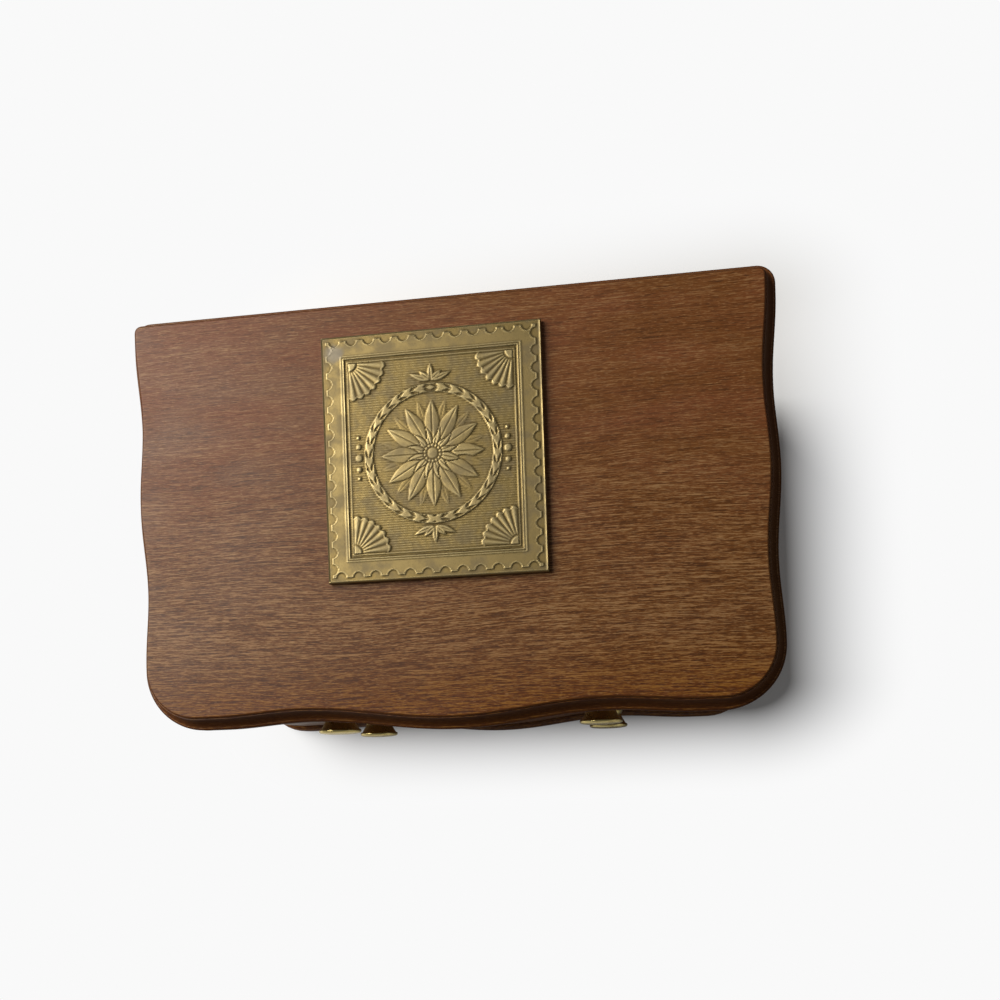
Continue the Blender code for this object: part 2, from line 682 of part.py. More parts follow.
def make_plaque():
    low = TOP_FACE + SEAT
    high = low + PLAQUE_THICKNESS
    field = high - PLAQUE_RELIEF
    outline = rectangle(PLAQUE_WIDTH / 2, PLAQUE_DEPTH / 2)
    plaque = add_object("brass_plaque", plate_mesh("brass_plaque", outline, low, high), "aged_brass")
    recess = plate_mesh("plaque field", scalloped_outline(), field, high + PLAQUE_RELIEF)
    combine(plaque, add_cutter("plaque field", recess))
    half_x, half_y = PLAQUE_WIDTH / 2 - FRAME_MARGIN, PLAQUE_DEPTH / 2 - FRAME_MARGIN
    frame_inside = rectangle(half_x - FRAME_BAR, half_y - FRAME_BAR)
    frame = raised_band("plaque frame", rectangle(half_x, half_y), frame_inside, field, high)
    combine(plaque, frame, "UNION")
    wreath_inside = circle(WREATH_RADIUS - WREATH_BAR)
    combine(plaque, raised_band("plaque wreath", circle(WREATH_RADIUS), wreath_inside, field, high), "UNION")
    return plaque


def raised_band(name, outer, inner, field, high):
    # A flat band that stands on the field, with its foot sunk into the plate
    foot = field - PLAQUE_RELIEF
    band = add_cutter(name, plate_mesh(name, outer, foot, high))
    hole = plate_mesh(name + " inside", inner, foot - PLAQUE_RELIEF, high + PLAQUE_RELIEF)
    combine(band, add_cutter(name + " inside", hole))
    return band


clear_scene()
parts = new_collection("trinket_box")
cutters = new_collection("cutters")
materials = {name: new_material(name) for name in FINISHES}

make_top_board()
make_base_board()
for side_name, side_direction in SIDES:
    make_side(side_name + "_side", side_direction)
make_back_panel()
make_divider()
make_base_screws()
make_felt_pads()
make_plaque()

knob_mesh = make_knob_mesh()
screw_mesh = make_screw_mesh()
make_drawer("upper", UPPER_FRONT_Z, UPPER_FRONT_HEIGHT, DIVIDER_TOP)
make_drawer("lower", LOWER_FRONT_Z, LOWER_FRONT_HEIGHT, BASE_TOP)
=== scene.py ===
import math

import bmesh
import bpy
import numpy as np
from mathutils import Euler, Matrix, Vector, noise


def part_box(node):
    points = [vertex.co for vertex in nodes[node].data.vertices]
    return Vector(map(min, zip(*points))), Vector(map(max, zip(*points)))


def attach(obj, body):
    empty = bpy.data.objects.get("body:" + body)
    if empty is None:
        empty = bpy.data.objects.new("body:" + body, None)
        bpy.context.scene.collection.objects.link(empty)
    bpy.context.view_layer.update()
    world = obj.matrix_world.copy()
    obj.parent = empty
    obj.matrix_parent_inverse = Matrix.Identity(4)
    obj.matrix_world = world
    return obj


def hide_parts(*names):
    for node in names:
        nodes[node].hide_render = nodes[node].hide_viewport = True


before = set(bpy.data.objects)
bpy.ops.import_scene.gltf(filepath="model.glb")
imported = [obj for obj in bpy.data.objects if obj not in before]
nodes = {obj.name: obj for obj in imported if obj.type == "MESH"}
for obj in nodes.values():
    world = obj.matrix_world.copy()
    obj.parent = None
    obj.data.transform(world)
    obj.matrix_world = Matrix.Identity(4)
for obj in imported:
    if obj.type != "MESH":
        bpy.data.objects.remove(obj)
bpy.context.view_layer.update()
print("frame loaded")

# Part frame: metres, +Z up, the front faces -Y, the middle of the top board stands over the origin.
mm = 0.001


# Small tools for colours, nodes and pieces

def toLinear(code):
    # An sRGB hex value as the linear colour that a shader takes
    parts = [int(code[i:i + 2], 16) / 255 for i in (1, 3, 5)]
    linear = [c / 12.92 if c <= 0.04045 else ((c + 0.055) / 1.055) ** 2.4 for c in parts]
    return (*linear, 1.0)


def addNode(tree, kind, inputs=None, **settings):
    # Inputs are keyed by name or number; a socket is linked, anything else is set
    node = tree.nodes.new(kind)
    for name, value in settings.items():
        setattr(node, name, value)
    for key, value in (inputs or {}).items():
        if isinstance(value, bpy.types.NodeSocket):
            tree.links.new(value, node.inputs[key])
        else:
            node.inputs[key].default_value = value
    return node


def mathNode(tree, operation, *values):
    return addNode(
        tree, "ShaderNodeMath", dict(enumerate(values)), operation=operation).outputs[0]


def vectorNode(tree, operation, *values):
    node = addNode(tree, "ShaderNodeVectorMath", dict(enumerate(values)), operation=operation)
    return node.outputs["Value" if operation in ("LENGTH", "DISTANCE") else "Vector"]


def swing(tree, pattern, strength):
    # A pattern from 0 to 1 turned into one about 0
    return mathNode(tree, "MULTIPLY_ADD", pattern, strength, -strength / 2)


def remap(tree, value, low, high, newLow=0.0, newHigh=1.0):
    return addNode(tree, "ShaderNodeMapRange", {
        "Value": value, "From Min": low, "From Max": high, "To Min": newLow, "To Max": newHigh,
    }, interpolation_type="SMOOTHSTEP").outputs["Result"]


def blendColors(tree, share, first, second, mode="MIX"):
    return addNode(tree, "ShaderNodeMix", {
        0: share, 6: first, 7: second}, data_type="RGBA", blend_type=mode).outputs[2]


def inMillimetres(tree, offset=(0.0, 0.0, 0.0), turn=0.0):
    # Object coordinates in millimetres, turned so that X runs along the grain
    place = addNode(tree, "ShaderNodeTexCoord").outputs["Object"]
    return addNode(tree, "ShaderNodeMapping", {
        "Vector": place, "Location": offset, "Rotation": (0.0, 0.0, turn), "Scale": (1 / mm,) * 3,
    }).outputs["Vector"]


def streaks(tree, place, length, width, detail, roughness, shift):
    # Noise drawn out along X: its cells are length by width millimetres
    drawn = vectorNode(
        tree, "MULTIPLY_ADD", place, (1 / length, 1 / width, 1 / width),
        (shift, shift * 1.7, shift * 0.6))
    return addNode(tree, "ShaderNodeTexNoise", {
        "Vector": drawn, "Scale": 1.0, "Detail": detail, "Roughness": roughness,
    }).outputs["Fac"]


def bumpNode(tree, height, strength, depth):
    # Depth in millimetres
    return addNode(tree, "ShaderNodeBump", {
        "Height": height, "Strength": strength, "Distance": depth * mm}).outputs["Normal"]


def newMaterial(name):
    material = bpy.data.materials.new(name)
    material.use_nodes = True
    tree = material.node_tree
    tree.nodes.clear()
    return material, tree


def finishMaterial(tree, surface):
    addNode(tree, "ShaderNodeOutputMaterial", {"Surface": surface})


def finishSurface(tree, color, roughness, normal, others):
    # What is the same all over the surface is set on the shader's own sockets
    shader = addNode(tree, "ShaderNodeBsdfPrincipled", {
        "Base Color": color, "Roughness": roughness, "Normal": normal, **others})
    finishMaterial(tree, shader.outputs[0])


def bodyOf(node):
    # The nodes of a drawer start with its level
    level = node.split("_")[0]
    return level + "_drawer" if level in ("upper", "lower") else "carcass"


def newPiece(node, shape, material, smoothAngle=32.0):
    # The finished bmesh as an object that rides on its body in place of its CAD node
    first, *others = node.split("_")
    name = first + "".join(word.capitalize() for word in others)
    mesh = bpy.data.meshes.new(name)
    shape.to_mesh(mesh)
    shape.free()
    mesh.materials.append(material)
    mesh.shade_smooth()
    mesh.set_sharp_from_angle(angle=math.radians(smoothAngle))
    piece = bpy.data.objects.new(name, mesh)
    bpy.context.scene.collection.objects.link(piece)
    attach(piece, bodyOf(node))
    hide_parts(node)
    return piece


def copyOfNode(node):
    # The CAD solid as one closed skin with its flat faces whole
    shape = bmesh.new()
    shape.from_mesh(nodes[node].data)
    bmesh.ops.remove_doubles(shape, verts=shape.verts, dist=0.002 * mm)
    bmesh.ops.dissolve_limit(
        shape, angle_limit=math.radians(0.4), verts=shape.verts, edges=shape.edges,
        use_dissolve_boundaries=False)
    return shape


def easeEdges(shape, width, segments=2, sharperThan=38.0):
    # Breaks the sharp arrises, as sandpaper does; width in millimetres
    sharp = [edge for edge in shape.edges if len(edge.link_faces) == 2
             and edge.calc_face_angle(0.0) > math.radians(sharperThan)]
    bmesh.ops.bevel(
        shape, geom=sharp, offset=width * mm, offset_type="OFFSET", affect="EDGES",
        segments=segments, profile=0.5, material=-1, clamp_overlap=True)


# In the looks of the materials, streaks and clouds have five numbers: length and width of a cell in
# mm, and the detail, roughness and shift of the noise. A range has four: two values of a pattern,
# and what the surface has at each of them. Depths and heights are in mm.

# Wood

# Mahogany-brown oiled walnut, planed and sanded: reddish brown with a fine straight grain, short
# dark pores and paler flecks between them, and the half-dull shine of a rubbed oil finish.
walnutLook = {
    "dark": "#4a290a", "golden": "#683e17", "ruddy": "#713d1c", "light": "#8f6a42",
    # The front tint is painted shade: it darkens and yellows the wood towards the front edge
    "pore": "#2c170a", "fleck": "#a5794d", "honey": "#ecd27c",
    "figure": (120.0, 9.0, 1.0, 0.5, 11.0), "line": (9.0, 0.26, 1.0, 0.5, 53.0),
    "fibre": (2.2, 0.17, 3.0, 0.6, 5.0), "pores": (2.2, 0.24, 1.0, 0.5, 17.0),
    "flecks": (1.5, 0.24, 1.0, 0.5, 29.0), "patch": (30.0, 12.0, 2.0, 0.5, 41.0),
    "drift": (75.0, 26.0, 1.0, 0.4, 3.1), "wander": 3.0,  # how far the grain strays across
    "figureTone": 0.36, "lineTone": 1.8, "fibreTone": 2.65,
    "tones": (0.12, 0.50, 0.88),                     # of the dark, the body and the light colour
    "backToFront": (32.0, -32.0), "backGrain": 0.45,  # the share of the grain at the back
    "ruddyPatch": (0.25, 0.75, 0.1, 0.9), "frontRuddy": 0.1,
    "honeyFront": (-34.0, -56.0),                    # where the painted front shade starts and is full
    "poreEdge": (0.54, 0.67), "poreStrength": 0.22,
    "fleckEdge": (0.60, 0.69), "fleckStrength": 0.35,
    "roughness": (0.3, 0.7, 0.38, 0.47), "poreRoughness": 0.25, "ior": 1.33,
    "bump": 0.8, "poreDepth": 0.045, "fibreHeight": 0.4,  # against the depth of the pores
}

# The routed edge of the top board is darker, duller and plainer: its darker colours are painted
# shade, while its duller shine and plainer grain are its own.
mouldingShadeLook = dict(
    walnutLook, dark="#3a210c", golden="#52300f", ruddy="#532b12", light="#744f28",
    figureTone=0.3, lineTone=0.7, fibreTone=0.8, poreStrength=0.15, fleckStrength=0.12,
    roughness=(0.3, 0.7, 0.71, 0.80), ior=1.26)

# Bare sanded poplar of the drawer boxes: pale brown, close-pored, without shine.
poplarLook = dict(
    walnutLook, dark="#8a6a48", golden="#9f7d58", ruddy="#a17a52", light="#b9976e",
    pore="#6c4f33", fleck="#c2a077", poreStrength=0.30, fleckStrength=0.20,
    roughness=(0.3, 0.7, 0.58, 0.67), poreDepth=0.02)


def woodMaterial(name, look, offset, alongDepth=False):
    material, tree = newMaterial(name)
    place = inMillimetres(tree, offset, math.radians(90.0) if alongDepth else 0.0)
    # The grain wanders slowly from side to side
    sideways = swing(tree, streaks(tree, place, *look["drift"]), look["wander"] * 2)
    stray = addNode(tree, "ShaderNodeCombineXYZ", {"Y": sideways}).outputs[0]
    grain = vectorNode(tree, "ADD", place, stray)
    figure, line, fibre, pore, fleck = [
        streaks(tree, grain, *look[layer])
        for layer in ("figure", "line", "fibre", "pores", "flecks")]
    patch = streaks(tree, place, *look["patch"])
    # The grain is faint at the back of the board and clear at its front
    depth = addNode(tree, "ShaderNodeSeparateXYZ", {0: inMillimetres(tree)}).outputs["Y"]
    clear = remap(tree, depth, *look["backToFront"], look["backGrain"], 1.0)
    fine = mathNode(
        tree, "ADD", swing(tree, fibre, look["fibreTone"]), swing(tree, line, look["lineTone"]))
    dark, body, light = look["tones"]
    tone = mathNode(tree, "MULTIPLY_ADD", fine, clear, body)
    tone = mathNode(tree, "ADD", tone, swing(tree, figure, look["figureTone"]))
    # Golden to ruddy in patches, and ruddier towards the back
    ruddy = mathNode(
        tree, "MULTIPLY", remap(tree, patch, *look["ruddyPatch"]),
        remap(tree, depth, *look["backToFront"], 1.0, look["frontRuddy"]))
    color = blendColors(tree, ruddy, toLinear(look["golden"]), toLinear(look["ruddy"]))
    color = blendColors(tree, remap(tree, tone, body, dark), color, toLinear(look["dark"]))
    color = blendColors(tree, remap(tree, tone, body, light), color, toLinear(look["light"]))
    # Painted shade: the wood turns darker and yellower towards the front edge
    shadedFront = remap(tree, depth, *look["honeyFront"])
    color = blendColors(tree, shadedFront, color, toLinear(look["honey"]), "MULTIPLY")
    flecked = remap(tree, fleck, *look["fleckEdge"], 0.0, look["fleckStrength"])
    color = blendColors(tree, flecked, color, toLinear(look["fleck"]))
    pored = remap(tree, pore, *look["poreEdge"], 0.0, look["poreStrength"])
    color = blendColors(tree, pored, color, toLinear(look["pore"]))
    rough = mathNode(
        tree, "MULTIPLY_ADD", pored, look["poreRoughness"],
        remap(tree, patch, *look["roughness"]))
    raised = mathNode(tree, "MULTIPLY", mathNode(tree, "ADD", fibre, line), look["fibreHeight"])
    bump = bumpNode(
        tree, mathNode(tree, "SUBTRACT", raised, pored), look["bump"], look["poreDepth"])
    finishSurface(tree, color, rough, bump, {"IOR": look["ior"]})
    return material


# Each board is cut from its own place in the wood, by which its pattern is shifted, mm
walnut = {
    "top_board": woodMaterial("oiledWalnutTop", walnutLook, (0.0, 12.0, 5.0)),
    "base_board": woodMaterial("oiledWalnutBase", walnutLook, (210.0, 55.0, 80.0)),
    "left_side": woodMaterial("oiledWalnutLeftSide", walnutLook, (90.0, 140.0, 30.0), True),
    "right_side": woodMaterial("oiledWalnutRightSide", walnutLook, (300.0, 20.0, 60.0), True),
    "back_panel": woodMaterial("oiledWalnutBack", walnutLook, (430.0, 75.0, 12.0)),
    "drawer_divider": woodMaterial("oiledWalnutDivider", walnutLook, (520.0, 33.0, 44.0)),
    "upper_drawer_front": woodMaterial("oiledWalnutUpperFront", walnutLook, (610.0, 91.0, 27.0)),
    "lower_drawer_front": woodMaterial("oiledWalnutLowerFront", walnutLook, (740.0, 66.0, 58.0)),
}
# The moulding's wood, darkened with painted shade
moulding = woodMaterial("oiledWalnutMoulding", mouldingShadeLook, (0.0, 12.0, 5.0))
poplar = woodMaterial("sandedPoplar", poplarLook, (50.0, 10.0, 20.0))
poplarDeep = woodMaterial("sandedPoplarDeep", poplarLook, (150.0, 40.0, 20.0), True)
print("woods mixed")


# Metals and felt

# Pressed brass that was darkened chemically and rubbed back: olive-gold, nearly black in the
# corners of the relief, bright on its ridges, with cloudy tarnish and one grey spot near the back
# left corner.
agedBrassLook = {
    "recess": "#584a2d", "body": "#847146", "bright": "#a3936a", "tarnish": "#6c6048",
    "stain": "#787164",
    "cloud": (6.0, 6.0, 4.0, 0.6, 7.0), "speckle": (0.38, 0.38, 3.0, 0.6, 13.0),
    "tarnished": (0.42, 0.64, 0.0, 0.75), "specked": (0.56, 0.74, 0.0, 0.35),
    "raised": (0.35, 1.0, 0.0, 0.65), "cloudedOver": (0.30, 0.62, 1.0, 0.45),
    "ridge": (0.02, 0.16, 0.0, 0.6), "hollow": (-0.015, -0.15, 0.0, 0.8),
    "stainPlace": (-28.9, 43.7), "stainRagged": 4.0, "stained": (3.2, 1.2, 0.0, 0.8),
    "roughness": (0.3, 0.7, 0.43, 0.60), "bump": 0.7, "grainDepth": 0.022,
}


def agedBrassMaterial(look):
    material, tree = newMaterial("antiquedPressedBrass")
    place = inMillimetres(tree)
    relief, crease = [
        addNode(tree, "ShaderNodeAttribute", attribute_name=name).outputs["Fac"]
        for name in ("relief", "crease")]
    cloud, speckle = streaks(tree, place, *look["cloud"]), streaks(tree, place, *look["speckle"])
    color = blendColors(
        tree, remap(tree, cloud, *look["tarnished"]), toLinear(look["body"]),
        toLinear(look["tarnish"]))
    lit = mathNode(
        tree, "MULTIPLY", remap(tree, relief, *look["raised"]),
        remap(tree, cloud, *look["cloudedOver"]))
    # How far a place is from the grey spot, whose ragged edge the cloud draws
    flat = vectorNode(tree, "MULTIPLY", place, (1.0, 1.0, 0.0))
    toStain = vectorNode(tree, "DISTANCE", flat, (*look["stainPlace"], 0.0))
    ragged = mathNode(tree, "SUBTRACT", toStain, swing(tree, cloud, look["stainRagged"]))
    for share, tint in (
            (lit, "bright"), (remap(tree, crease, *look["ridge"]), "bright"),
            (remap(tree, crease, *look["hollow"]), "recess"),
            (remap(tree, speckle, *look["specked"]), "recess"),
            (remap(tree, ragged, *look["stained"]), "stain")):
        color = blendColors(tree, share, color, toLinear(look[tint]))
    rough = remap(tree, cloud, *look["roughness"])
    bump = bumpNode(tree, speckle, look["bump"], look["grainDepth"])
    finishSurface(tree, color, rough, bump, {"Metallic": 1.0})
    return material


# Turned brass, polished and lacquered: clear yellow, mirror-like, with faint turning rings.
polishedBrassLook = {
    "body": "#e3cf8b", "dull": "#ab9350",
    "cloud": (2.2, 2.2, 4.0, 0.6, 3.0), "fine": (0.3, 0.3, 2.0, 0.5, 23.0),
    "dulled": (0.45, 0.75, 0.0, 0.6), "roughness": (0.3, 0.75, 0.13, 0.31),
    "ring": 0.16, "bump": 0.6, "ringDepth": 0.003,
}


def polishedBrassMaterial(look):
    material, tree = newMaterial("polishedTurnedBrass")
    place = inMillimetres(tree)
    cloud, fine = streaks(tree, place, *look["cloud"]), streaks(tree, place, *look["fine"])
    color = blendColors(
        tree, remap(tree, cloud, *look["dulled"]), toLinear(look["body"]), toLinear(look["dull"]))
    rough = remap(tree, cloud, *look["roughness"])
    depth = addNode(tree, "ShaderNodeSeparateXYZ", {0: place}).outputs["Y"]
    rings = mathNode(tree, "SINE", mathNode(tree, "MULTIPLY", depth, math.tau / look["ring"]))
    bump = bumpNode(tree, mathNode(tree, "ADD", rings, fine), look["bump"], look["ringDepth"])
    finishSurface(tree, color, rough, bump, {"Metallic": 1.0})
    return material


# Zinc-plated steel screws: pale grey, slightly mottled, with a satin shine.
zincLook = {
    "body": "#c4c5c4", "dull": "#8f9190",
    "spot": (0.9, 0.9, 4.0, 0.65, 2.0),
    "dulled": (0.42, 0.72, 0.0, 0.7), "roughness": (0.3, 0.7, 0.26, 0.46),
    "bump": 0.4, "spotDepth": 0.01,
}


def zincMaterial(look):
    material, tree = newMaterial("zincPlatedSteel")
    spot = streaks(tree, inMillimetres(tree), *look["spot"])
    color = blendColors(
        tree, remap(tree, spot, *look["dulled"]), toLinear(look["body"]), toLinear(look["dull"]))
    rough = remap(tree, spot, *look["roughness"])
    bump = bumpNode(tree, spot, look["bump"], look["spotDepth"])
    finishSurface(tree, color, rough, bump, {"Metallic": 1.0})
    return material


# Pressed wool felt: dark green, matt, with a short nap of tangled fibres that catches the light at
# a slant.
feltLook = {
    "deep": "#14261a", "body": "#24472f", "fibre": "#41694a",
    "tangle": (0.55, 4.0, 0.7, 1.6),                 # cell, detail, roughness and distortion
    "fuzz": (0.22, 0.22, 2.0, 0.6, 9.0),
    "risen": (0.32, 0.66, 0.0, 1.0), "fuzzed": (0.54, 0.76, 0.0, 0.6),
    "roughness": 0.95, "bump": 0.9, "napDepth": 0.12,
    "sheen": 0.35, "sheenRoughness": 0.5, "sheenTint": (0.55, 0.85, 0.60, 1.0),
}


def feltMaterial(look):
    material, tree = newMaterial("pressedWoolFelt")
    place = inMillimetres(tree)
    cell, detail, roughness, distortion = look["tangle"]
    tangle = addNode(tree, "ShaderNodeTexNoise", {
        "Vector": place, "Scale": 1 / cell, "Detail": detail, "Roughness": roughness,
        "Distortion": distortion}).outputs["Fac"]
    fuzz = streaks(tree, place, *look["fuzz"])
    color = blendColors(
        tree, remap(tree, tangle, *look["risen"]), toLinear(look["deep"]), toLinear(look["body"]))
    color = blendColors(tree, remap(tree, fuzz, *look["fuzzed"]), color, toLinear(look["fibre"]))
    bump = bumpNode(tree, mathNode(tree, "ADD", tangle, fuzz), look["bump"], look["napDepth"])
    finishSurface(tree, color, look["roughness"], bump, {
        "Sheen Weight": look["sheen"], "Sheen Roughness": look["sheenRoughness"],
        "Sheen Tint": look["sheenTint"]})
    return material


agedBrass = agedBrassMaterial(agedBrassLook)
polishedBrass = polishedBrassMaterial(polishedBrassLook)
zinc = zincMaterial(zincLook)
felt = feltMaterial(feltLook)
print("metals and felt mixed")


# Plan of the chest and the moulding of its top board, as in the CAD model, mm

plan = {
    "halfWidth": 91.4, "halfDepth": 60.55,
    "frontRadius": 17.4, "backRadius": 5.0, "backTurns": 10,
    "hollowX": 43.0, "hollowDepth": 3.6, "lobeSetback": 2.3, "lobeFlat": 6.0,
    "wavePitch": 47.0, "waveDepth": 1.4,
    "spacing": 0.9, "gap": 0.3,                      # of the points, and the least before a corner
}
topLook = {
    "low": 84.0, "lipHeight": 3.4, "arris": 0.45, "coveWidth": 2.4, "coveHeight": 4.8,
    "quirk": 0.3, "easing": 0.5, "thickness": 9.5, "coveSteps": 12,
    "levelRing": 0.35,                               # round the upper face, keeps its shading flat
}


def wave(share):
    # From 0 to 1 and back as share goes from 0 through 1 to 2, level at each end
    return (1 - math.cos(math.pi * share)) / 2


def frontLine(x):
    # How far the serpentine front lies behind its middle
    x = abs(x)
    lobeX = plan["halfWidth"] - plan["frontRadius"] - plan["lobeFlat"]
    if x < plan["hollowX"]:
        return plan["hollowDepth"] * wave(x / plan["hollowX"])
    fall = wave(min((x - plan["hollowX"]) / (lobeX - plan["hollowX"]), 1.0))
    return plan["hollowDepth"] - (plan["hollowDepth"] - plan["lobeSetback"]) * fall


def sideLine(y):
    # How far a side lies inside its crests
    cornerY = -plan["halfDepth"] + plan["lobeSetback"] + plan["frontRadius"]
    along = (y - cornerY) / plan["wavePitch"]
    return 0.0 if along >= 2.0 else plan["waveDepth"] * wave(2 * along)


def outlineOfTop():
    # Points round the lip, from the middle of the front to the right
    width, depth, spacing = plan["halfWidth"], plan["halfDepth"], plan["spacing"]
    front, back = plan["frontRadius"], plan["backRadius"]
    cornerX, cornerY = width - front, -depth + plan["lobeSetback"] + front
    backX, backY = width - back, depth - back
    right = [(x, -depth + frontLine(x)) for x in np.arange(0.0, cornerX - plan["gap"], spacing)]
    turns = int(front * math.pi / 2 / spacing)
    for i in range(turns + 1):
        a = math.pi / 2 * i / turns
        right.append((cornerX + front * math.sin(a), cornerY - front * math.cos(a)))
    alongSide = np.arange(cornerY + spacing, backY - plan["gap"], spacing)
    right += [(width - sideLine(y), y) for y in alongSide]
    for i in range(plan["backTurns"] + 1):
        a = math.pi / 2 * i / plan["backTurns"]
        right.append((backX + back * math.cos(a), backY + back * math.sin(a)))
    return right + [(-x, y) for x, y in reversed(right)][:-1]


def quarterRound(radius, steps=4):
    turns = [i * math.pi / 2 / steps for i in range(steps + 1)]
    return [(radius * (math.cos(a) - math.cos(b)), radius * (math.sin(b) - math.sin(a)))
            for a, b in zip(turns, turns[1:])]


def mouldingSteps():
    # (distance in, distance up) from the top of the lip to the upper face
    look = topLook
    steps = quarterRound(look["arris"])
    before = (0.0, 0.0)
    for i in range(1, look["coveSteps"] + 1):
        a = math.pi / 2 * i / look["coveSteps"]
        here = (look["coveWidth"] * math.sin(a), look["coveHeight"] * (1 - math.cos(a)))
        steps.append((here[0] - before[0], here[1] - before[1]))
        before = here
    height = look["lipHeight"] + look["arris"] + look["coveHeight"] + look["easing"]
    steps += [(look["quirk"], 0.0), (0.0, look["thickness"] - height)]
    return steps + quarterRound(look["easing"]) + [(look["levelRing"], 0.0)]


def makeTopBoard():
    outline = outlineOfTop()
    shape = bmesh.new()
    # A disc whose corners move to the outline
    ring = bmesh.ops.create_circle(shape, cap_ends=True, segments=len(outline), radius=0.1)["verts"]
    for vert, (x, y) in zip(ring, outline):
        vert.co = (x * mm, y * mm, (topLook["low"] + topLook["arris"]) * mm)
    underside = face = shape.faces[:][0]
    for inward, upward in [(0.0, topLook["lipHeight"] - topLook["arris"])] + mouldingSteps():
        if inward > 1e-6:
            bmesh.ops.inset_region(
                shape, faces=[face], thickness=inward * mm, use_even_offset=True)
        else:
            risen = bmesh.ops.extrude_face_region(shape, geom=[face])["geom"]
            if face is not underside:
                bmesh.ops.delete(shape, geom=[face], context="FACES")
            face = [item for item in risen if isinstance(item, bmesh.types.BMFace)][0]
        bmesh.ops.translate(shape, verts=face.verts[:], vec=(0.0, 0.0, upward * mm))
    bmesh.ops.recalc_face_normals(shape, faces=shape.faces)
    for inward, downward in quarterRound(topLook["arris"]):
        bmesh.ops.inset_region(
            shape, faces=[underside], thickness=inward * mm, depth=downward * mm,
            use_even_offset=True)
    # The upper face shows the board's own wood, all else the moulding's wood with painted shade
    for face in shape.faces:
        face.material_index = 0 if face.normal.z > 0.99 else 1
    piece = newPiece("top_board", shape, walnut["top_board"], smoothAngle=50.0)
    piece.data.materials.append(moulding)


makeTopBoard()
print("top board made")


# Boards of the carcass and the drawers: the CAD's shapes with their arrises eased

easing = {
    "base_board": 0.25, "left_side": 0.25, "right_side": 0.25, "back_panel": 0.3,
    "drawer_divider": 0.5, "upper_drawer_front": 0.25, "lower_drawer_front": 0.25,
    "left_wall": 0.4, "right_wall": 0.4, "back_wall": 0.4, "bottom": 0.2,
}

boards = {node: (walnut[node], "walnut", easing[node]) for node in walnut if node in easing}
for level in ("upper", "lower"):
    for part, material in (
            ("left_wall", poplarDeep), ("right_wall", poplarDeep), ("back_wall", poplar),
            ("bottom", poplar)):
        boards[f"{level}_drawer_{part}"] = (material, "drawer_wood", easing[part])

for node, (material, slotName, width) in boards.items():
    shape = copyOfNode(node)
    easeEdges(shape, width)
    newPiece(node, shape, material, smoothAngle=40.0)
print("boards made")


# Screws: the CAD's turned shapes with smooth shading

for node in [name for name in nodes if "screw" in name]:
    shape = copyOfNode(node)
    easeEdges(shape, 0.08, segments=1, sharperThan=50.0)
    newPiece(node, shape, zinc, smoothAngle=35.0)
print("screws made")


# Knobs: turned from the bar, with a thin disc on a waisted neck

knobLook = {
    # (radius, height above the drawer front), mm, from the middle of the face round to the bore
    "profile": [
        (0.0, 6.40), (1.3, 6.39), (2.6, 6.35), (3.9, 6.27), (4.25, 6.23), (4.42, 6.12),
        (4.60, 6.20), (5.0, 6.15), (5.5, 6.06), (5.9, 5.96), (6.15, 5.82), (6.30, 5.60),
        (6.35, 5.35), (6.33, 5.10), (6.22, 4.90), (6.02, 4.77), (5.82, 4.70), (5.66, 4.56),
        (5.52, 4.30), (5.32, 3.95), (5.02, 3.45), (4.70, 2.85), (4.44, 2.25), (4.36, 1.70),
        (4.48, 1.20), (4.72, 0.86), (4.80, 0.74), (4.68, 0.66), (4.72, 0.56), (4.86, 0.46),
        (4.90, 0.28), (4.86, 0.08), (4.75, 0.0), (1.8, 0.0), (1.8, 4.2), (0.0, 4.2)],
    "steps": 80,
}


def makeKnob(node):
    low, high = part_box(node)
    shape = bmesh.new()
    line = [
        shape.verts.new((radius * mm, 0.0, height * mm)) for radius, height in knobLook["profile"]]
    edges = [shape.edges.new(pair) for pair in zip(line, line[1:])]
    bmesh.ops.spin(
        shape, geom=line + edges, cent=(0, 0, 0), axis=(0, 0, 1), dvec=(0, 0, 0), angle=math.tau,
        steps=knobLook["steps"], use_merge=True, use_duplicate=False)
    bmesh.ops.remove_doubles(shape, verts=shape.verts, dist=0.001 * mm)
    bmesh.ops.recalc_face_normals(shape, faces=shape.faces)
    middle = (low + high) / 2
    place = Matrix.Translation((middle.x, high.y, middle.z)) @ Matrix.Rotation(math.pi / 2, 4, "X")
    bmesh.ops.transform(shape, matrix=place, verts=shape.verts)
    newPiece(node, shape, polishedBrass, smoothAngle=38.0)


for level in ("upper", "lower"):
    for side in ("left", "right"):
        makeKnob(f"{level}_{side}_knob")
print("knobs made")


# Felt: a lining on each drawer's bottom and a pad under each corner

feltShape = {"cell": 1.3, "lump": 2.6, "rise": 0.10, "easing": 0.3, "padSides": 64}  # mm


def roughen(shape, faces):
    # Lowers the nap unevenly
    for vert in {vert for face in faces for vert in face.verts}:
        lump = noise.noise(vert.co / (feltShape["lump"] * mm))
        vert.co -= vert.normal * (lump * 0.5 + 0.5) * feltShape["rise"] * mm


def makeLining(level):
    node = f"{level}_drawer_lining"
    low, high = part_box(node)
    size = high - low
    shape = bmesh.new()
    bmesh.ops.create_cube(
        shape, size=1.0,
        matrix=Matrix.Translation((low + high) / 2) @ Matrix.Diagonal((*size, 1.0)))
    easeEdges(shape, feltShape["easing"])
    # The edges that run the whole way are cut into cells
    for axis in (0, 1):
        whole = [edge for edge in shape.edges
                 if abs(edge.verts[0].co[axis] - edge.verts[1].co[axis]) > size[axis] * 0.9]
        bmesh.ops.subdivide_edges(
            shape, edges=whole, cuts=int(size[axis] / (feltShape["cell"] * mm)),
            use_grid_fill=True)
    shape.normal_update()
    roughen(shape, [face for face in shape.faces if face.normal.z > 0.7])
    lining = newPiece(node, shape, felt)


